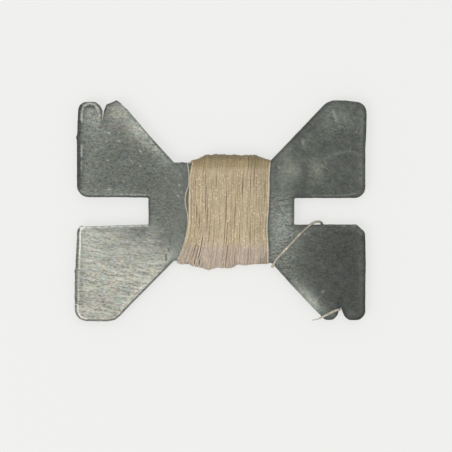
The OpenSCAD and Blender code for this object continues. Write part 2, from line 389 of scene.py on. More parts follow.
tail_path = curved(TAIL, LEAD_STEPS)
tail_shine = sum(bell(np.linalg.norm(tail_path - p, axis=1), GLINT_REACH) for p in LEAD_GLINTS)
tail_level = profile(LEAD_LEVELS, np.arange(len(tail_path)) / LEAD_STEPS) + GLINT_LEVELS * tail_shine
tail_tone = srgb(tail_level[:, None] * LEAD_TINT)
tail_share = np.linspace(0, 1, len(tail_path))
tail_radius = WIRE_D / 2 * LEAD_WIDER * (1 - TIP_THINNER * smooth((tail_share - 1 + TIP_SHARE) / TIP_SHARE))
lead = tube_mesh("free_lead", [tail_path], [tail_radius], SIDES, [tail_tone], [0.8 + tail_shine])
lead.data.materials.append(wire_material("lead_wire", 0.5))
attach(lead, "root")
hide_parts("wire_tail")


# ---- the winding

TURNS = 52
# Turns of each inner layer, and how far in from the sides
INNER_LAYERS = [(44, 0.5), (34, 1.6), (27, 2.8)]
WAIST_TOP, WAIST_LOW = 12.1, -12.9
EDGE_R = 0.25
# Stations up one face, and steps round one corner
RUN = 34
ARC = 4
# The first station on the back
BACK = RUN + 2 * ARC + 1
random = np.random.default_rng(4127)


def stations():
    """Foot and outward normal (y, z) round the waist, from the front's lower edge up."""
    top, low = WAIST_TOP - EDGE_R, WAIST_LOW + EDGE_R
    ys = np.linspace(low, top, RUN)
    made = []

    def corner(y, z, first, steps):
        for k in steps:
            a = math.radians(first - 90 * k / ARC)
            made.append((y + EDGE_R * math.cos(a), z + EDGE_R * math.sin(a), math.cos(a), math.sin(a)))

    made += [(y, CARD_TOP, 0, 1) for y in ys]
    corner(top, CARD_TOP - EDGE_R, 90, range(1, ARC + 1))
    corner(top, CARD_LOW + EDGE_R, 0, range(ARC + 1))
    made += [(y, CARD_LOW, 0, -1) for y in ys[-2::-1]]
    corner(low, CARD_LOW + EDGE_R, -90, range(1, ARC + 1))
    corner(low, CARD_TOP - EDGE_R, 180, range(ARC))
    return np.hsplit(np.array(made), 2)


FEET, NORMALS = stations()
COUNT = len(FEET)

# Height of the winding over the sheet, by x
HIGH_TOP = [
    (-8.6, 0.45), (-7.8, 0.45), (-6.6, 0.8), (-5.25, 1.3), (-3.75, 1.9), (-2.25, 2.1), (0.75, 2.15),
    (5.25, 1.95), (7.25, 2.05), (8.75, 1.9), (9.75, 1.5), (11.25, 0.95), (12.1, 0.8),
]
HIGH_FACE = [
    (-9.5, 0.55), (-8, 0.62), (-7, 1), (-5.5, 1.5), (-4, 1.85), (-2, 2.05), (8, 2.05), (9.5, 1.7),
    (10.5, 1.2), (11.3, 0.75), (12, 0.55),
]
HIGH_LOW = [
    (-11.2, 0.3), (-10.5, 0.5), (-9.7, 0.75), (-8.5, 0.52), (-6.9, 1.25), (-5.55, 1.45), (-4.35, 1.7),
    (-3, 2.2), (-2.2, 1.9), (-1, 1.45), (1, 1.7), (2.75, 1.65), (4.15, 0.8), (6.25, 1), (7.25, 0.8),
    (9.25, 0.55), (10.5, 0.4), (11.75, 0.38),
]
# The winding's two sides, x by y
RIGHT_SIDE = [(-12.3, 11.8), (-11.3, 11.75), (-9.3, 11.6), (-5.3, 11.42), (-3.3, 11.5), (-1.3, 11.6),
              (0.7, 11.8), (4.7, 11.9), (8.7, 11.95), (10.7, 12.05), (12.6, 12.1)]
LEFT_SIDE = [(-1, -8.2), (2.65, -8.25), (7.65, -8.0), (9.6, -7.85), (11.4, -7.5), (12.5, -7.25)]
# The splay: start, length and power, then its left end and width
SPLAY_TOP, SPLAY_LONG, SPLAY_POWER = -2, 11, 1.9
SPLAY_LEFT, SPLAY_WIDE = -11.15, 21.97
# Wider gaps in the splay, in 36ths of the layer
SPLAY_GAPS, SPLAY_GAP = (4, 6, 8), 0.3


def height(x):
    """Outer height of the winding at each station."""
    y = FEET[:, 0]
    at_top = step(y, 10.2, 1.6)
    at_low = step(-8.0, y, 4.6)
    made = (1 - at_top - at_low) * profile(HIGH_FACE, x)
    made += at_top * (profile(HIGH_TOP, x) + 0.3 * wander(x, 71, 0.8))
    return made + at_low * (profile(HIGH_LOW, x) + 0.1 * wander(x, 72, 0.6))


def strand_x(turn, y, count=TURNS, inset=0.0):
    """x of a turn, whole or part, at height y."""
    share = turn / (count - 1)
    right = profile(RIGHT_SIDE, y) - inset
    left = profile(LEFT_SIDE, y) + inset
    even = left + (right - left) * share
    gaps = SPLAY_GAP * sum(smooth(share * 36 - at) for at in SPLAY_GAPS)
    splayed = SPLAY_LEFT + inset + gaps + (SPLAY_WIDE - 2 * inset) * share
    return even + (splayed - even) * np.clip((SPLAY_TOP - y) / SPLAY_LONG, 0, 1) ** SPLAY_POWER


def layer_paths(count, inset, row, drift, spread):
    """x of a layer's wandering strands, by turn and station."""
    index = np.arange(count * COUNT)
    y = FEET[index % COUNT, 0]
    turn = index / COUNT
    whole = np.floor(turn)
    part = turn - whole
    # the crossing to the next turn, mostly at the back
    leave, cross = 0.30, 0.62
    advance = whole + 0.8 * np.clip((part - leave) / cross, 0, 1) + 0.2 * part - 0.1
    x = strand_x(np.clip(advance, -0.1, count - 0.9), y, count, inset)
    # less in the first and last turns, at the top and at the lower right
    free = 0.35 + 0.65 * np.minimum(smooth(turn / 3), step(count, turn, 3))
    free = free * (1 - 0.42 * step(y, 7, 3)) * (1 - 0.4 * step(-6, y, 4) * smooth((x + 1) / 3))
    x = x + free * drift * (wander(index, row, 19) + 0.4 * wander(index, row + 5, 6))
    astray = random.random(count) < 0.2
    x = x + free * spread * astray[whole.astype(int)] * wander(index, row + 9, 40)
    return x.reshape(count, COUNT)


# Strands climb over those laid nearer than CLIMB
CLIMB = 0.5 * WIRE_D
MOST_CLIMB = 0.22
NEIGHBOURS = 4
# Stations that even out their height
EASE, EASE_WIDTH = 5, 1.8


def settle(x, depth, order):
    """Heights of the strands, each laid on those before it."""
    lowest = np.array([height(strand) - WIRE_D / 2 - depth for strand in x])
    h = lowest.copy()
    laid = []
    for i in order:
        for j in laid:
            if abs(i - j) <= NEIGHBOURS:
                gap = np.abs(x[i] - x[j])
                rise = h[j] + np.sqrt(np.maximum(0, CLIMB ** 2 - gap ** 2))
                risen = np.maximum(h[i], np.minimum(rise, lowest[i] + MOST_CLIMB))
                h[i] = np.where(gap < CLIMB, risen, h[i])
        laid.append(i)
    kernel = np.exp(-0.5 * (np.arange(-EASE, EASE + 1) / EASE_WIDTH) ** 2)
    padded = np.pad(h.ravel(), EASE, mode="edge")
    return np.convolve(padded, kernel / kernel.sum(), "valid").reshape(h.shape)


# Dark gaps on the front: x, y from, y to, half width, lean
GAPS = [
    (-3.85, 0.3, 9.8, 0.13, 0), (-6.5, -4.9, 8, 0.11, 0.01), (-5.9, -4.9, 1.6, 0.11, 0),
    (-5.3, -5.6, -2.1, 0.15, 0), (1.5, -9.4, -2.2, 0.1, 0), (1.45, -1.2, 3.9, 0.08, 0),
    (1.3, -12.6, -10.6, 0.05, 0.02), (-8.1, -12.2, -6.8, 0.12, 0.3), (-6.75, -13, -7.7, 0.12, 0.2),
    (-5.9, -12.9, -7.2, 0.1, 0.18), (-5.15, -12.6, -6.6, 0.11, 0.15), (7.05, -12.6, -5.4, 0.08, 0.05),
    (-3, -7.7, -4.9, 0.09, 0.03), (10.9, 3.4, 6.6, 0.1, 0), (10.6, -10.5, -6.5, 0.1, 0),
    (3.4, -12.5, -9.8, 0.1, 0.03), (-1.9, 2.6, 6.5, 0.08, 0), (-7.4, -5.5, 5, 0.08, 0.01),
]


def part_strands(x):
    """Pushes the front strands a little apart at the gaps."""
    y = FEET[:RUN, 0][None, :]
    for gx, low, high, half, lean in GAPS:
        at = gx + lean * (y - (low + high) / 2)
        hold = smooth((y - low + 1) / 1.4) * smooth((high + 1 - y) / 1.4)
        away = x[:, :RUN] - at
        x[:, :RUN] += half * hold * np.sign(away) * bell(away, 0.9)
    return x


def path_of(x, h):
    """Points of a wire from its x and height, kept over the floor."""
    x, h = x.ravel(), h.ravel()
    s = np.arange(len(x)) % COUNT
    y, z = (FEET[s] + NORMALS[s] * h[:, None]).T
    return np.column_stack([x, y, np.maximum(z, WIRE_D / 2 + 0.005)])


# The top tone is painted shade where the winding turns over the top edge; the low tone is pinker, and paler
# with painted light, where it turns over the lower edge
MID_TONE, TOP_SHADED_TONE, LOW_LIT_TONE = (196, 179, 149), (168, 151, 117), (196, 180, 162)
WARMER = np.array((1.0, 0.0, -1.2))


def wire_tones(path, row, painted_shade=0.0):
    x, y = path[:, 0], path[:, 1]
    index = np.arange(len(path))
    turn = index // COUNT * 1.0
    high, low = step(y, 9.9, 1.6), step(-8.2, y, 1.2)
    tone = sum(np.outer(share, colour) for share, colour in
               ((1 - high - low, MID_TONE), (high, TOP_SHADED_TONE), (low, LOW_LIT_TONE)))
    # painted shade: darker still towards the very top, and the inner layers darkened by the shade passed in
    tone = tone * (1 - 0.13 * step(y, 11.9, 1.8))[:, None] - painted_shade
    lively = (10.5 + 7 * step(-2.5, x, 3)) * (1 - 0.15 * high)
    change = 4 * bell(y + 6.8, 2.4) - 4 * bell(y - 7.5, 2.6)
    change = change + lively * wander(turn, row + 3, 0.83) + 8 * wander(index, row + 4, 7)
    return tone + change[:, None] + np.outer(4.5 * wander(turn, row + 6, 1.9), WARMER)


# painted glints: only on the winding's flat middle, where the strands face the light
def glint_of(path):
    y = path[:, 1]
    return smooth((y + 9.8) / 1.2) * step(10.2, y, 1.5)


# The first strand stands off the others: its x by y
LOOSE = [
    (-13, -10.9), (-8, -9.5), (-4, -8.7), (-1.2, -8.32), (-0.2, -8.5), (1.6, -8.86), (3, -8.92),
    (4.4, -8.74), (5.5, -8.32), (6.4, -8.08), (8.7, -7.96), (10.5, -8.15), (11.6, -8.36), (12.5, -8.5),
]
LOOSE_FROM = -2
OUTER_DEPTH = 0.10
# Where the last turn leaves the back, and its x at the top
LEAVE_Y, LAST_X, LAST_Y = -6.2, 12.1, 12

outer_x = part_strands(layer_paths(TURNS, 0, 1, 0.24, 0.3))
front_y = FEET[:RUN, 0]
loose = curved([(x, y, 0) for y, x in LOOSE], 6)
loose_x = np.interp(front_y, loose[:, 1], loose[:, 0])
outer_x[0, :RUN] = np.where(front_y < LOOSE_FROM, strand_x(0, front_y), loose_x)
outer_x[1, :RUN] = np.maximum(outer_x[1, :RUN], strand_x(1, front_y) - 0.05)
outer_path = path_of(outer_x, settle(outer_x, OUTER_DEPTH, random.permutation(TURNS)))

# the last turn runs down the back into the free lead
last_front = (TURNS - 1) * COUNT
last_back = last_front + BACK
end = last_back + next(k for k, y in enumerate(FEET[BACK:, 0]) if y < LEAVE_Y)
exit_x, exit_y, exit_z = TAIL[0]
outer_path = outer_path[:end]
last_y = outer_path[:, 1]
goal = np.column_stack([np.interp(last_y, [exit_y, LAST_Y], [exit_x, LAST_X]), last_y, np.full(end, exit_z)])
blend = smooth((np.arange(end) - last_back) / (end - last_back))[:, None]
outer_path = np.vstack([outer_path * (1 - blend) + goal * blend, TAIL[0]])

number = np.arange(len(outer_path))
first = number < RUN
last = (number >= last_front) & (number < last_front + RUN)
outer_radius = np.where(first, 0.68, 1) * WIRE_D / 2
outer_tone = wire_tones(outer_path, 1)
outer_tone[first] = (190, 182, 162)
outer_tone[last] = (210, 200, 178)
outer_tone[COUNT:COUNT + RUN] += 12
outer_glint = glint_of(outer_path) * np.where(first | last, 0.25, 1)
outer = tube_mesh("wound_turns", [outer_path], [outer_radius], SIDES, [srgb(outer_tone)], [outer_glint])
outer.data.materials.append(wire_material("wound_wire", 0.9))
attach(outer, "root")
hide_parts("wire_turns")

INNER_DEPTH, LAYER_STEP, INNER_LEAST = 0.34, 0.45, 0.24
# Painted shade of the inner layers, seen between the outer strands
INNER_PAINTED_SHADE = 26
inner_paths, inner_tones = [], []
for layer, (count, inset) in enumerate(INNER_LAYERS):
    inner_x = layer_paths(count, inset, 20 + layer, 0.12, 0.3)
    depth = INNER_DEPTH + LAYER_STEP * layer
    inner_h = np.array([np.maximum(height(strand) - WIRE_D / 2 - depth, INNER_LEAST) for strand in inner_x])
    inner_paths.append(path_of(inner_x, inner_h))
    inner_tones.append(srgb(wire_tones(inner_paths[-1], 20 + layer, INNER_PAINTED_SHADE)))
inner_glints = [np.zeros(len(path)) for path in inner_paths]
inner = tube_mesh("inner_layers", inner_paths, [WIRE_D / 2] * 3, INNER_SIDES, inner_tones, inner_glints)
inner.data.materials.append(wire_material("inner_wire", 0.0))
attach(inner, "root")
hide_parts("wire_core")


# ---- the card

# Corners [x, y, radius], from the left slot round over the top
CORNERS = [
    (-18.2, 3.17, 0.3), (-26, 3.3, 9), (-36.08, 3.3, 3), (-36.12, 18.2, 8), (-35.68, 27.24, 3.4),
    (-31.4, 27.24, 1.2), (-30.2, 26.3, 0.9), (-29.62, 25.1, 0.8), (-29.66, 23.5, 0.5), (-29.67, 22.95, 0.1),
    (-30.21, 20.85, 0.02), (-30.17, 20.83, 0.02), (-29.59, 22.95, 0.1), (-29.34, 24.9, 1.2),
    (-28.75, 26.55, 0.7), (-27.4, 27.05, 0.8), (-26.15, 27.72, 0.5), (-25.1, 27, 0.5), (-24.6, 26.35, 0.5),
    (-23.4, 25.35, 1), (-17, 17.85, 3), (-11.7, 12.05, 0.8), (12.1, 12.25, 0.6), (26.85, 27.65, 4.2),
    (31.2, 27.6, 4), (36.42, 26.9, 2.7), (36.48, 22, 6), (36.15, 15, 8), (36.15, 3.1, 2.8),
    (18.4, 3.08, 0.35), (18.35, -3.45, 0.3), (33.9, -3.4, 0.8), (36.1, -5.35, 1.6), (36.25, -13, 9),
    (36.08, -27.45, 2.6), (31.15, -27.45, 3), (29.95, -24.3, 0.8), (29.75, -23.6, 0.08),
    (29.87, -22.4, 0.02), (29.83, -22.38, 0.02), (29.66, -23.7, 0.08), (29.3, -26.05, 2.7),
    (28.15, -27.37, 1.8), (25.95, -27.4, 1.3), (22.2, -23.53, 4), (17.2, -18.23, 4), (12.75, -13.2, 0.6),
    (-11.72, -12.6, 0.8), (-23.8, -24.84, 6), (-24.98, -26.15, 1.6), (-26.4, -27.4, 1.8),
    (-28.6, -27.78, 4), (-36.62, -27.63, 3.2), (-36.65, -17, 12), (-35.95, -3.98, 1.4), (-18.2, -3.43, 0.3),
]
# Furthest reach of the rough edge
LEAST, MOST = (-36.8, -27.7), (36.6, 27.7)
STEP, ARC_STEP, ARC_TURN = 0.25, 0.18, 0.35
# Half angle that counts as straight, and a corner's most of a side
STRAIGHT, CORNER_SHARE = 1.5625, 0.48
# The notches' slits, and their reach
SLITS = [([(-29.65, 23.9), (-30.2, 20.85)], 0.9), ([(29.72, -24.2), (29.86, -22.4)], 0.8)]
# Waves of the sheared edge: size, row of noise, pitch
EDGE_WAVES = [(0.045, 41, 1.9), (0.03, 42, 0.55)]
EDGE_INSET = 0.05
# Burrs: x, y, size
BURRS = [(-36.2, 18.3, 0.22), (-36.3, -15.2, 0.22), (-9.75, 12.1, 0.14), (-36.4, -21.6, 0.12),
         (-35.0, -4.0, 0.25)]
BURR_REACH = 0.45


def rounded(corners):
    """Dense points of an outline whose corners are rounded."""
    made, n = [], len(corners)
    for i in range(n):
        before, at, after = (np.array(corners[(i + k) % n][:2], float) for k in (-1, 0, 1))
        back, on = before - at, after - at
        back_long, on_long = np.linalg.norm(back), np.linalg.norm(on)
        back, on = back / back_long, on / on_long
        half = math.acos(np.clip(back @ on, -1, 1)) / 2
        if half > STRAIGHT:
            made.append(at)
            continue
        reach = min(corners[i][2] / math.tan(half), CORNER_SHARE * min(back_long, on_long))
        middle = back + on
        centre = at + middle / np.linalg.norm(middle) * reach / math.cos(half)
        first, last = at + back * reach - centre, at + on * reach - centre
        r = np.linalg.norm(first)
        start = math.atan2(first[1], first[0])
        sweep = (math.atan2(last[1], last[0]) - start + math.pi) % (2 * math.pi) - math.pi
        steps = max(2, int(abs(sweep) * r / ARC_STEP) + 1, int(abs(sweep) / ARC_TURN) + 1)
        for k in range(steps + 1):
            a = start + sweep * k / steps
            made.append(centre + r * np.array((math.cos(a), math.sin(a))))
    dense = []
    for a, b in zip(made, made[1:] + made[:1]):
        count = max(1, int(round(np.linalg.norm(b - a) / STEP)))
        dense += [a + (b - a) * k / count for k in range(count)]
    return np.array(dense)


def outward(line):
    """Outward normals of a clockwise outline."""
    way = np.roll(line, -1, 0) - np.roll(line, 1, 0)
    way /= np.linalg.norm(way, axis=1)[:, None]
    return np.column_stack([-way[:, 1], way[:, 0]])


def inside(points, line):
    x, y = points.T
    hit = np.zeros(len(points), bool)
    for (x0, y0), (x1, y1) in zip(line, np.roll(line, -1, 0)):
        if y0 == y1:
            continue
        at = x0 + (y - y0) * (x1 - x0) / (y1 - y0)
        hit ^= ((y0 > y) != (y1 > y)) & (x < at)
    return hit


def stroke(p, points, width):
    """1 on a line through the points, fading over its width."""
    away = np.full(len(p), 1e9)
    for a, b in zip(points, points[1:]):
        a, b = np.array(a, float), np.array(b, float)
        way = b - a
        t = np.clip(((p - a) @ way) / (way @ way), 0, 1)
        away = np.minimum(away, np.linalg.norm(p - a - t[:, None] * way, axis=1))
    return bell(away, width)


def slit_share(p):
    """1 in the two slits, fading beside them."""
    return np.clip(sum(stroke(p, line, width) for line, width in SLITS), 0, 1)


outline = rounded(CORNERS)
normals = outward(outline)
run = running_length(outline)
# rougher at the lower left, clean at the slits
rough = 1 + 1.2 * smooth((-35 - outline[:, 0]) / 0.6) * (outline[:, 1] < 0)
waves = sum(wave * wander(run, row, pitch) for wave, row, pitch in EDGE_WAVES)
outline = outline + normals * ((1 - slit_share(outline)) * (rough * waves - EDGE_INSET))[:, None]
for burr_x, burr_y, burr in BURRS:
    away = np.linalg.norm(outline - (burr_x, burr_y), axis=1)
    outline = outline + normals * (burr * bell(away, BURR_REACH))[:, None]
outline = np.clip(outline, LEAST, MOST)

tree = kdtree.KDTree(len(outline))
for i, p in enumerate(outline):
    tree.insert((p[0], p[1], 0), i)
tree.balance()


def nearest(points):
    """Distance from the outline, and the nearest point's number."""
    found = [tree.find((p[0], p[1], 0)) for p in points]
    return np.array([f[2] for f in found]), np.array([f[1] for f in found])


def face_points(insets, grid):
    """Points of one face: the outline, rows inside it, then an even grid."""
    rows = [outline]
    for inset in insets:
        p = outline - normals * inset
        away, _ = nearest(p)
        p = p[away > inset * 0.985 - 0.006]
        row, last = [], None
        for q in p:
            if last is None or np.linalg.norm(q - last) > ROW_STEP:
                row.append(q)
                last = q
        rows.append(np.array(row))
    lowest, highest = outline.min(0), outline.max(0)
    xs, ys = np.arange(lowest[0], highest[0], grid), np.arange(lowest[1], highest[1], grid * 0.866)
    spots = np.array([(x + (grid / 2 if k % 2 else 0), y) for k, y in enumerate(ys) for x in xs])
    spots = spots[inside(spots, outline)]
    away, _ = nearest(spots)
    return np.vstack(rows + [spots[away > insets[-1] + grid * 0.7]])


def triangles(points):
    """Triangles of a face whose first points are the outline's."""
    verts, _, faces, origin, *_ = geometry.delaunay_2d_cdt(
        [Vector(p) for p in points], [], [list(range(len(outline)))], 1, 1e-5)
    index = [o[0] if o else -1 for o in origin]
    assert len(verts) == len(points) and min(index) >= 0
    return [[index[i] for i in f] for f in faces]


def left_facing(p, n):
    """1 at the wide sheared edges of the card's left end."""
    return smooth((-n[:, 0] - 0.55) / 0.3) * (p[:, 0] < -33)


ROLL, BACK_ROLL = 0.17, 0.14
SHEAR_W, SHEAR_DROP, SHEAR_POWER = 0.85, 0.3, 1.3
FACE_SINK = 0.035
# Waves of the face: height, pitch, row of noise
FACE_WAVES = [(0.035, 7, 3.1), (0.012, 1.6, 8.1)]
# Rows of points inside the edge, then a grid
FRONT_ROWS = [0.04, 0.09, 0.15, 0.21, 0.27, 0.38, 0.5, 0.62, 0.74, 0.86, 0.98, 1.1, 1.25, 1.45]
BACK_ROWS = [0.06, 0.14, 0.4]
FRONT_GRID, BACK_GRID = 0.3, 0.95
ROW_STEP = 0.09
# Rows of points down the edge, as shares of its height
EDGE_ROWS = (0.3, 0.55, 0.8)
EDGE_LEAN = 0.02


def rolled(away, radius):
    return radius - np.sqrt(np.maximum(0, radius ** 2 - np.maximum(0, radius - away) ** 2))


def front_z(p, away, edge):
    roll = rolled(away, ROLL) * (1 - 0.9 * slit_share(p))
    shear = left_facing(p, normals[edge]) * SHEAR_DROP * np.clip(1 - away / SHEAR_W, 0, 1) ** SHEAR_POWER
    wave = sum(high * np.array([noise.noise(Vector((x / pitch, y / pitch, row))) for x, y in p])
               for high, pitch, row in FACE_WAVES)
    return CARD_TOP - FACE_SINK - roll - shear + wave * smooth(away)


# Patches, some the metal's own smudges and stains, some painted sheen along the diagonal slopes: x, y, reach
# along and across, change of display level, and turn if any
PATCHES = [
    (-33.2, 24.4, 2.4, 3.6, 34), (-32.5, 12, 2.2, 9, 9), (-26.6, 24.5, 2.6, 2.6, 47, -47),
    (-22.6, 21.2, 4.2, 1.7, 34, -47), (-17.6, 16.2, 5, 1.5, 24, -47), (-28, 4.4, 9, 1.3, 12),
    (-30, 19, 4, 2.5, 14), (-20, 6, 5, 3, -5), (-32.4, -8, 2.4, 5, 8), (-27, -17, 6, 3, 6),
    (-21, -16, 5, 1.6, 6, 45), (-35.2, -20, 1.2, 7, -8), (-14.5, -11.6, 3.4, 2.2, 24),
    (-17.3, -8, 1.6, 5, 12), (-14, 0, 5, 4, 2), (-13.2, 12, 2.2, 2, 16), (15.2, -3.2, 3.2, 5.2, 20),
    (15, 6, 3, 2, -4), (17, 9.9, 2.2, 2.2, 18), (17.5, -1, 0.8, 3, 14), (18.9, 9.6, 1.2, 2.2, 15, 20),
    (23.8, 10.3, 1.9, 2.3, 31, -8), (22.6, 6.6, 1.2, 1.6, 8), (24.8, 7.6, 1.6, 1.4, 8),
    (20.3, 5.5, 1.4, 2.5, -5), (30.5, 24, 4.5, 2.6, 11), (26, 21.5, 2.2, 2.6, 8),
    (33.2, 24.8, 1.4, 1.5, -9), (21.5, 16.8, 1.6, 2.4, 12), (35, 12, 0.9, 9, 8),
    (20.6, -20.7, 3.6, 1.3, 42, -47), (23.7, -23.9, 3, 1.5, 54, -47), (19.6, -18.4, 3.4, 2.6, 14, -47),
    (29, -4.3, 8, 0.9, 12), (34.6, -5, 1.4, 1.4, 18, -45), (35, -15, 0.8, 8, 10), (17.5, -5.5, 2.4, 3, 10),
    (28.2, -26.4, 1.4, 0.9, 20, 30), (-24.6, -6.3, 4.5, 2.2, -12), (-26.5, -4.6, 8, 1, -10),
    (-17.6, -10.8, 2.2, 2.4, -15), (-25.7, -20.3, 3.2, 1.6, -9), (-34.7, 23.6, 1, 2, -19),
    (-28, 24.6, 1.3, 1.4, -20), (-30.4, 22.4, 1, 1.4, 30), (-22.4, 18.6, 5, 2.5, 8),
    (-20.9, 20.8, 3.4, 0.7, 24, -47), (-15.6, 14.9, 2.4, 0.7, 20, -47), (-19.3, -18.5, 7, 0.8, 18, 45),
    (-34.8, 12, 0.8, 9, -10), (-35, -18, 0.8, 5, -10), (14.6, 11.6, 1.5, 1.3, -12), (21.7, 12.4, 4, 1.2, 5),
    (21.1, 9.6, 0.7, 2.6, -7), (33, 21.4, 1.6, 1.6, 9), (30.7, 25.6, 4, 1, -7), (35.2, 22, 0.6, 3, 8),
    (13.9, -10.3, 1.8, 4.5, 8), (19.5, -7.4, 1.4, 2, 11), (17.2, -5, 1.6, 1.6, -12),
    (21.4, -4.9, 1.8, 1.3, 15), (33, -26, 2, 1.2, 8), (20.5, -10.5, 2.4, 3.5, 6),
    (-22.5, -8.6, 4.5, 4.4, -8), (-34.4, 24.3, 1, 1.6, -8), (13.1, 7.5, 0.9, 4.5, -7),
    (27.5, 19.5, 3, 2, 6), (22.6, -21.7, 3.4, 2.6, 17, -47), (27.6, -24, 1.6, 1.6, 11),
    (23, -6.6, 2.6, 2.4, 6), (35.4, 8, 0.8, 9, 5), (35.4, -16, 0.8, 10, 5), (32, -26, 2.4, 1.4, 5),
    (13.2, -9, 1, 4, 5), (-18.6, -5, 1.6, 1.4, -6), (-25.6, 23.4, 1.8, 1.8, -4),
    (28.3, -26.3, 1.8, 0.9, 10, 30), (29.5, 22.5, 3.2, 1, 6), (27.8, 24.6, 1, 1.2, 12),
    (13.6, 10.4, 0.8, 1.6, -6), (-20, 17.4, 2.6, 1.2, 9, -47), (35.6, 11, 0.8, 12, 5),
    (19.3, 10.6, 1, 2, 8), (14, 12, 1.6, 5, -5), (26.4, -25.6, 1, 1.4, 8), (35.6, -16, 0.7, 10, 4),
    (-20.5, -14.5, 2, 1.6, -5), (-12.3, -4.4, 1.5, 2, 5), (-28, -18.4, 1.6, 1.4, -6),
    (-32.5, 22.6, 1.6, 1.4, 8), (-23.6, 24.6, 1, 1, 6), (-13.4, -3.4, 2.4, 1.6, 6),
    (-10, -11.4, 1, 1.4, -9), (-12.8, 10.6, 1.6, 1.4, -5), (13.4, 2.6, 1.2, 1.6, -6),
    (-34.8, 25.8, 0.8, 1.4, -14), (-33.6, 8, 1, 3, 4), (-28, -23.8, 7, 2.4, -6),
    (-23.8, 24.4, 1.2, 1, 12, -47), (-14.4, -13.8, 1.8, 1.2, 14, 45), (19.6, 11, 1.2, 6, 5),
    (33.2, 14.8, 1.4, 1.6, -8), (25.3, -13.5, 3, 7, 4),
]
BACK_LEVEL, BACK_DARK = 104, 0.3


def level(p):
    """Display level of the metal at places, with painted sheen: lighter at the lower left and along the
    diagonal slopes, darker towards the right.
    """
    x, y = p.T
    lower_left = 164 - 32 * smooth((y + 0.85 * (x + 21) + 10.5) / 9) * smooth((x + 35) / 14)
    waist = np.where(x < 0, 105 + 26 * step(-3, y, 9), 109.0)
    upper_right = 84 + 8 * step(y, 20, 5)
    lower_right = 71 + 22 * np.exp(-np.maximum(0, x - 18) / 4.5)
    left_low, right_low = step(-y, 0.5, 5), smooth(0.5 - y)
    left = 104.0 + (lower_left - 104.0) * np.where(x < -18, y < 0, left_low)
    right = upper_right + (lower_right - upper_right) * right_low
    to_left, to_right = step(-12.5, x, 6), step(x, 15.5, 4.5)
    made = waist * (1 - to_left - to_right) + left * to_left + right * to_right
    for patch_x, patch_y, along, across, change, *turn in PATCHES:
        a = math.radians(sum(turn))
        u = (x - patch_x) * math.cos(a) + (y - patch_y) * math.sin(a)
        v = (y - patch_y) * math.cos(a) - (x - patch_x) * math.sin(a)
        made = made + change * bell(u, along) * bell(v, across)
    return made


# Bright marks, scratches and specks, and painted highlights along the rolled edges: width, strength, then x
# and y of each point
BRIGHT = [
    (0.19, 0.62, -35, 22.9, -34.85, 24.8, -34.3, 26.1, -33, 26.85, -31.6, 26.5, -30.75, 25.3),
    (0.2, 0.42, -30.75, 25.3, -30.35, 23.8), (0.18, 0.7, -34.8, 22.3, -34.75, 24.2),
    (0.2, 0.5, -34.85, 13.6, -34.85, 16.4), (0.18, 0.3, -34.9, 10.4, -34.85, 12.2),
    (0.2, 0.35, -35, 5, -34.6, 4.6), (0.16, 0.22, -25.1, 26.4, -22.6, 24.2, -20.9, 22.3, -18.6, 19.6),
    (0.22, 0.75, -20.3, 20.6, -19.8, 20.1), (0.2, 0.55, -21, 21.9, -20.7, 21.3),
    (0.2, 0.6, -19, 19.2, -18.5, 18.7), (0.16, 0.5, -21.6, 21, -21.2, 20.8),
    (0.2, 0.5, -20.3, 15.1, -20, 14.6), (0.2, 0.4, -28.3, 19.6, -28, 19.3),
    (0.18, 0.45, -28.8, 17.4, -28.6, 17.3), (0.18, 0.45, -25.7, 17.4, -25.5, 17.3),
    (0.18, 0.3, -28.4, 12.7, -28.2, 12.6), (0.2, 0.7, -16.3, 15.9, -16.15, 15.3),
    (0.18, 0.5, -17.5, 17.4, -17.3, 17.1), (0.16, 0.3, -18.5, 13.7, -18.3, 13.5),
    (0.2, 0.3, -22.5, 12.4, -22.2, 12.2), (0.18, 0.3, -20.3, 11.2, -20, 11),
    (0.16, 0.25, -24.4, 7.4, -24.1, 7.2), (0.16, 0.25, -33.2, 7.4, -33, 7.2),
    (0.16, 0.25, -14, 8.2, -13.9, 8), (0.22, 0.4, -28.3, 5.3, -27.9, 5.3),
    (0.14, 0.25, -31.5, 15.3, -29.4, 15.8), (0.14, 0.2, -33.6, 19.6, -31.2, 18.4),
    (0.16, 0.4, -22.6, 3.95, -18.8, 4), (0.12, 0.18, -29, 3.85, -24, 3.9),
    (0.2, 0.75, -10.5, 6.4, -10.45, 6.3), (0.2, 0.65, -10.65, 3.7, -10.6, 3.6),
    (0.22, 0.35, -10.3, 9.1, -10.25, 9), (0.1, 0.35, -11.4, 4.3, -10.9, 3.6),
    (0.12, 0.35, -9.9, 4.6, -9.8, 4.4), (0.16, 0.35, -36, -4.6, -34.6, -4.1, -31, -3.95),
    (0.34, 0.26, 20.5, 17.6, 20.45, 16.6), (0.3, 0.22, 28.1, 25, 28.4, 23.8, 28.9, 22.4),
    (0.45, 0.09, 26.8, 13.3, 30, 14.7, 32.3, 14.95, 34.4, 13.9), (0.26, 0.13, 26, 12.6, 26.3, 11.4),
    (0.2, 0.12, 25.2, 11.5, 25.6, 11.1), (0.2, 0.13, 26.1, 10.9, 26.6, 10.5),
    (0.2, 0.1, 26.4, 21.2, 27.6, 20.5, 28.9, 20.3), (0.2, 0.11, 29.4, 21.2, 31, 20.6),
    (0.18, 0.2, 33.9, 19.9, 34, 19.6), (0.2, 0.12, 34.2, 21, 34.3, 20.6),
    (0.14, 0.2, 22.5, 3.7, 27.7, 3.75, 31.5, 3.8, 33.6, 4.3), (0.26, 0.26, 25.4, -20.3, 25.55, -20.1),
    (0.22, 0.35, 14.4, 11, 14.5, 10.7), (0.14, 0.3, 17.3, -5.4, 17.8, -6.2),
    (0.14, 0.3, 15, -9, 14.7, -9.4), (0.14, 0.25, 17.7, -11.2, 18.3, -11.9),
    (0.14, 0.2, 20.6, -5.4, 20.9, -6),
]
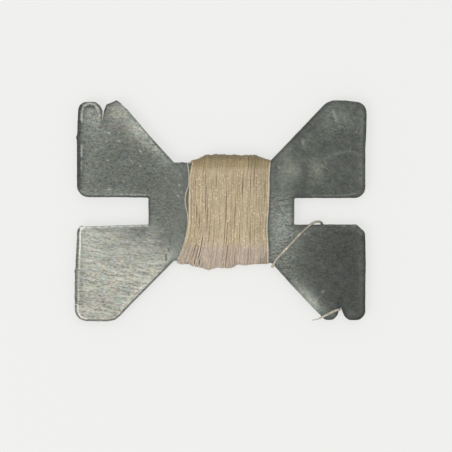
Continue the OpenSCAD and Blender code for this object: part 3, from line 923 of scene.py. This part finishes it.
# Dark marks: dents and smears, and painted shadow beside the winding's right side and at the notch slits
DARK = [
    (0.42, 0.95, -34.2, 25.9, -33, 26.1, -31.8, 25.9), (0.3, 0.16, -30.3, 20.9, -30.6, 19.8),
    (0.5, 0.2, -29, 22.2, -28.4, 20.5), (0.14, 0.25, -29, 20.4, -27.2, 20.2),
    (0.12, 0.22, -26, 22.9, -22.4, 22.9), (0.19, 1.15, -13.7, -11.1, -13.8, -12.4),
    (0.2, 0.9, -13.2, -9.5, -13.1, -10), (0.16, 0.5, -13, -7, -12.7, -8.4),
    (0.14, 0.3, -12.6, -7.2, -12.5, -9.6), (0.2, 0.5, -9.75, 12.25, -9.4, 11.9),
    (0.3, 0.22, -32.6, -4.3, -26.8, -4.5), (0.14, 0.25, -33.6, -6.9, -31, -8),
    (0.16, 0.3, -29.5, -13.4, -24.6, -14.6), (0.14, 0.25, -27, -18.4, -21.8, -20.1),
    (0.18, 0.3, -22, -19.2, -19.8, -19.9), (0.3, 0.5, 34.2, 22.4, 34.3, 22.3),
    (0.25, 0.4, 32.9, 22.5, 33.1, 22.2), (0.28, 0.13, -33.5, 18.3, -29, 18.6, -21.8, 18.3),
    (0.25, 0.15, -28.7, 22.3, -22.2, 22.2), (0.16, 0.25, 25.3, 12.8, 25.8, 11.6),
    (0.5, 0.18, 13.8, 7, 16.6, 9.8), (0.2, 0.3, 29.9, -21, 29.7, -22.6),
    (0.22, 0.3, 16.6, -7.4, 17.2, -8.6), (0.2, 0.4, 14.6, -11, 15.2, -12.4),
    (0.2, 0.25, 16, -13.2, 17, -14.6), (0.3, 0.3, 18.6, -4.3, 20.2, -4.3),
    (0.26, 0.2, -34.75, -5.5, -34.8, -12, -35, -22.5), (0.25, 0.16, -33.4, -26.3, -28.2, -26.35),
    (0.2, 0.5, 12.45, 11.6, 12.3, 4, 11.95, -3.5, 12.3, -11.5), (0.35, 0.25, -22.5, -4.7, -18.8, -4.5),
    (0.14, 0.25, -12.1, -4.4, -12, -5.9), (0.16, 0.4, -36.1, -15.4, -36.3, -16.4),
    (0.2, 0.2, 27.9, 25.6, 28.6, 25.2), (0.16, 0.4, 24.9, 10.6, 25.1, 10.4),
    (0.16, 0.4, 26.2, 9.1, 26.4, 9),
]


def marks(table):
    """Points, width and strength of each mark in a table."""
    return [(np.reshape(places, (-1, 2)), width, strength) for width, strength, *places in table]


def mark_points():
    """Extra points that show each mark at its own width."""
    made = []
    for points, width, _ in marks(BRIGHT + DARK):
        for a, b in zip(points, points[1:]):
            way = b - a
            long = np.linalg.norm(way)
            side = np.array((-way[1], way[0])) / long * width
            for t in np.linspace(0, 1, int(long / 0.16) + 2):
                made += [a + way * t + side * k for k in (-1.6, -0.8, 0, 0.8, 1.6)]
    made = np.array(made)
    made = made[inside(made, outline)]
    away, _ = nearest(made)
    made = made[away > 0.12]
    # one point at most in each small square
    _, keep = np.unique(np.round(made / 0.07), axis=0, return_index=True)
    return made[np.sort(keep)]


def card_mesh():
    """Points, faces, and by point: in front or not, distance from the edge, and where."""
    n = len(outline)
    top = np.vstack([face_points(FRONT_ROWS, FRONT_GRID), mark_points()])
    low = face_points(BACK_ROWS, BACK_GRID)
    top_away, top_edge = nearest(top)
    low_away, low_edge = nearest(low)
    top_away[:n] = low_away[:n] = 0
    top_z = front_z(top, top_away, top_edge)
    low_z = CARD_LOW + rolled(low_away, BACK_ROLL)
    verts = [(*p, z) for p, z in zip(top, top_z)] + [(*p, z) for p, z in zip(low, low_z)]
    faces = triangles(top)
    faces += [[i + len(top) for i in f[::-1]] for f in triangles(low)]
    rings = [list(range(n))]
    for share in EDGE_ROWS:
        start = len(verts)
        z = top_z[:n] * (1 - share) + low_z[:n] * share
        lean = EDGE_LEAN * wander(run, 50 + share * 10, 0.9) - EDGE_LEAN / 2
        verts += [(*(p + m * w), h) for p, m, w, h in zip(outline, normals, lean, z)]
        rings.append(list(range(start, start + n)))
    rings.append([len(top) + i for i in range(n)])
    for a, b in zip(rings, rings[1:]):
        faces += [[a[i], a[(i + 1) % n], b[(i + 1) % n], b[i]] for i in range(n)]
    verts = np.array(verts)
    verts[:, :2] = np.clip(verts[:, :2], LEAST, MOST)
    front = np.arange(len(verts)) < len(top)
    walls = len(EDGE_ROWS)
    away = np.concatenate([top_away, low_away, np.zeros(walls * n)])
    edge = np.concatenate([top_edge, low_edge, np.tile(np.arange(n), walls)])
    return verts, faces, front.astype(float), away, edge


verts, faces, is_front, from_edge, edge = card_mesh()
flat = verts[:, :2]
px, py = flat.T
out = normals[edge]
left_edge = left_facing(flat, out)
up_facing = smooth((out[:, 1] - 0.7) / 0.2)
down_facing = smooth((-out[:, 1] - 0.7) / 0.2)
slanted = smooth((0.9 - np.abs(out[:, 1])) / 0.1) * smooth((0.9 - np.abs(out[:, 0])) / 0.1)
# the lower sides of the two slots
low_left = (px < -17) & (py < 0) & (py > -8)
low_right = (px > 18) & (py < 0) & (py > -8)


def zone(x0, x1, y0, y1):
    """1 inside a box, fading over a millimetre."""
    return smooth(px - x0 + 0.5) * smooth(x1 - px + 0.5) * smooth(py - y0 + 0.5) * smooth(y1 - py + 0.5)


def edge_shadow():
    """How dark the painted shade on the sheared edge is, with the dark marks and painted shadows."""
    on_left = step(-14, px, 2)
    lower_lobe = zone(-36, -12, -28, -12)
    ring = 0.45 + 0.27 * on_left + (0.08 + 0.2 * slanted) * lower_lobe
    ring *= 1 - slanted * (0.7 * zone(-26, -17, 17, 28) + 0.3 * zone(-17, -10, 11, 17))
    upper_sides = 0.45 * zone(20, 37, 20, 28) + 0.6 * zone(-36, -30, 20, 28) + 0.5 * zone(-13, -8, 11, 14)
    ring *= 1 - up_facing * upper_sides
    ring *= 1 - 0.95 * up_facing * low_left
    ring *= 1 - 0.5 * up_facing * low_right
    ring *= 1 - 0.3 * down_facing * zone(18, 37, 2, 5)
    reach = 0.95 - 0.2 * on_left + 0.03 * lower_lobe
    dark = ring * step(reach, from_edge, 0.5) * (0.5 + 0.5 * smooth(from_edge / 0.3))
    # the two wide sheared ends on the left, with painted shade on their slopes
    uneven = wander(py, 61, 1.2)
    upper_end = left_edge * smooth(py * 4)
    lower_end = left_edge * smooth(-py * 4) * smooth((py + 23.6) / 0.8)
    dark = np.maximum(dark, upper_end * (0.72 + 0.2 * uneven) * step(1.15, from_edge, 0.4))
    dark = np.maximum(dark, lower_end * (0.72 + 0.25 * uneven) * step(0.88, from_edge, 0.32))
    # the lower right slope has painted sheen instead of painted edge shade
    sheen = stroke(flat, [(20.0, -21.2), (24.6, -26.1)], 1.5)
    dark = dark * (1 - 0.55 * slit_share(flat)) * (1 - 0.95 * sheen)
    soft_edge = 0.1 * smooth(1.3 - from_edge) * (px > 14) * (1 - sheen)
    dark = 1 - (1 - dark) * (1 - soft_edge)
    for points, width, strength in marks(DARK):
        dark = np.maximum(dark, strength * stroke(flat, points, width))
    return np.where(is_front > 0, dark, BACK_DARK)


# Painted highlights along the left end's rolled edge
EDGE_LINES = [
    (0.15, 1.1, -34.3, -4.15, -34.9, -4.4, -35.2, -5.2, -35.26, -9, -35.33, -11),
    (0.18, 0.5, -35.33, -11, -35.38, -13),
    (0.14, 0.55, -36.4, -23.5, -35.7, -23.6, -35.85, -24.4, -35.6, -25.7, -34.85, -26.65, -33.6, -27.05),
]
PATCHY_LINE = [(-35.4, -13), (-35.6, -17.5), (-35.66, -23)]


def edge_highlights_and_wear():
    """How far the metal is painted bright: highlights on the rolled edges, and bright scratches and specks.
    """
    patchy_line = 0.36 * stroke(flat, PATCHY_LINE, 0.17) * patchy(py, 69, 1.1, 0.75, 1, 0.2, 1.2)
    highlight_and_wear = np.maximum.reduce([patchy_line] + [strength * stroke(flat, points, width)
                                              for points, width, strength in marks(EDGE_LINES)])
    # painted highlight lines along the edge: where, distance inside it, width, strength, patchiness
    left, slopes, on_right = px < -14, down_facing + slanted, step(px, 25.5, 3)
    for where, inset, width, strength, uneven in (
        (up_facing * low_left, 0.22, 0.26, 0.5, patchy(px, 64, 0.8, 0.6, 1.1, 0.05, 1.2)),
        (up_facing * low_right * on_right, 0.3, 0.24, 0.22, patchy(px, 65, 1.4, 0.6, 1, 0, 1.2)),
        (down_facing * (px < -17) * (py > 0), 0.72, 0.14, 0.2, patchy(px, 66, 1.1, 0.4, 1.6, 0, 1)),
        (slopes * left * (py < -14), 0.6, 0.13, 0.42, patchy(px + py, 67, 0.9, 0.55, 1.2, 0, 1)),
        (slanted * left * (py > 12), 0.66, 0.15, 0.3, patchy(px - py, 68, 0.9, 0.4, 1.5, 0, 1)),
    ):
        highlight_and_wear = highlight_and_wear + where * bell(from_edge - inset, width) * strength * uneven
    highlight_and_wear = np.clip(highlight_and_wear, 0, 1)
    for points, width, strength in marks(BRIGHT):
        highlight_and_wear = np.maximum(highlight_and_wear, 0.62 * strength * stroke(flat, points, width * 1.1))
    return highlight_and_wear * is_front


def card_grain():
    """How strong, streaky and coarse the grain is."""
    left = step(-10, px, 6)
    streaky = step(-py, 2, 4) * left
    by_winding = step(5, py, 2)
    grain = 0.85 + (0.17 + 0.25 * step(-11, py, 4)) * left - 0.02 * streaky
    grain += 0.12 * step(py, 12, 6) * (px > 12)
    grain += 0.5 * bell(px - 15.5, 3.8) * by_winding
    grain += (0.2 + 0.1 * smooth(-py)) * step(px, 19, 4) * (1 - 0.7 * step(-16, py, 3))
    coarse = np.maximum(left, bell(px - 15.5, 4.5) * by_winding)
    return left, {"grain": grain, "streaky": streaky, "coarse": coarse}


def card_tone(left, streaky):
    """Colour: greenish grey, warmer in streaks and stains, with the painted sheen of its levels."""
    tone = np.where(is_front > 0, level(flat), BACK_LEVEL)[:, None]
    warm = streaky[:, None]
    stained = left * (0.4 * step(-10, py, 7) + 0.9 * step(py, 12, 6) * smooth((px + 30) / 6))
    for x, y, wide, high in ((17.4, 10.0, 2.2, 2.3), (23.8, 10.3, 1.9, 2.4)):
        stained = stained + 1.7 * bell(px - x, wide) * bell(py - y, high)
    tint = tone * ((1.0, 1.03, 0.965) * (1 - warm) + np.array((1.02, 1.025, 0.96)) * warm)
    for share, change in ((stained, (0.012, 0, -0.012)), (zone(-31, -24, 20, 28), (0.006, -0.012, -0.004)),
                          (step(px, 14, 3) * step(py, 1, 3), (0, 0.008, 0.004))):
        tint = tint * (1 + np.outer(share, change))
    return srgb(tint)


HIGHLIGHT_AND_WEAR_COLOUR = (0.90, 0.89, 0.83, 1)


def card_material():
    """Sheet metal, as its mesh's attributes say."""
    mat, g, shader = node_material("sheet_metal")
    grain, coarse, streaky = g.attribute("grain"), g.attribute("coarse"), g.attribute("streaky")

    def layer(scale, turn, shift, detail, rough, distort=0.0):
        """Noise from -1 to 1."""
        n = g.noise(g.place((*scale, 1), turn=turn, shift=shift), detail=detail, rough=rough, distort=distort)
        return g.ramp(n, 0.3, 0.7, -1.0, 1.0)

    def between(low, high, share):
        return g.times_plus(g.math("SUBTRACT", high, low), share, low)

    streak = layer((0.24, 2.3), 8, (0, 0, 0), 3, 0.6, 0.1)
    hair = layer((1.3, 2.6), 5, (3, 1, 0), 3, 0.62)
    cloud = layer((0.5, 0.6), 20, (8, 2, 0), 4, 0.6, 0.6)
    blotch = layer((1.15, 2.2), 4, (11, 5, 0), 5, 0.64)
    grit = layer((2.6, 2.6), 0, (2, 7, 0), 2, 0.55)
    pink = layer((0.5, 0.75), 6, (21, 3, 0), 3, 0.6)
    yellow = layer((0.6, 0.9), 6, (5, 31, 0), 3, 0.6)
    lines = g.times_plus(streak, 0.26, g.times(hair, 0.34))
    coarse_pits = g.times_plus(blotch, 0.28, g.times_plus(streak, 0.09, g.times(grit, 0.25)))
    soft_pits = g.times_plus(cloud, 0.15, g.times_plus(blotch, 0.2, g.times(grit, 0.17)))
    relief = between(between(soft_pits, coarse_pits, coarse), lines, g.times(streaky, 0.75))
    # dark: painted shade on the edges, painted shadows, and the dark marks
    shade = g.times(g.times_plus(relief, grain, 1.0), g.times_plus(g.attribute("dark"), -0.68, 1.0))
    shade = g.math("MAXIMUM", shade, 0.12)
    colour = g.mix("MULTIPLY", 1.0, g.attribute("tone", "Color"), g.rgb(shade, shade, shade))
    tinged = g.times(grain, g.times_plus(coarse, 0.4, 0.6))
    red = g.times_plus(g.times(pink, tinged), 0.055, 1.0)
    blue = g.times_plus(g.times(yellow, tinged), 0.062, 1.0)
    colour = g.mix("MULTIPLY", 1.0, colour, g.rgb(red, 1.0, blue))
    # painted edge highlights and bright scratches, mixed towards a pale colour
    highlight_and_wear = g.times(g.attribute("rim"), g.ramp(grit, -0.9, 0.6, 0.55, 1.1), clamp=True)
    g.put(shader.inputs["Base Color"], g.mix("MIX", highlight_and_wear, colour, HIGHLIGHT_AND_WEAR_COLOUR))
    set_sockets(shader, Metallic=0.7)
    g.put(shader.inputs["Roughness"], g.times_plus(relief, 0.08, 0.46))
    g.bump(shader, g.times(relief, grain), strength=0.3, distance=0.02)
    return mat


mesh = bpy.data.meshes.new("card")
mesh.from_pydata([tuple(v * MM) for v in verts], [], faces)
on_left, grains = card_grain()
for name, values in {"dark": edge_shadow(), "rim": edge_highlights_and_wear(), **grains}.items():
    set_attribute(mesh, name, values)
set_attribute(mesh, "tone", card_tone(on_left, grains["streaky"]))
mesh.shade_smooth()
mesh.materials.append(card_material())
card = add_object("card", mesh)
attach(card, "root")
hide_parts("winding_card")
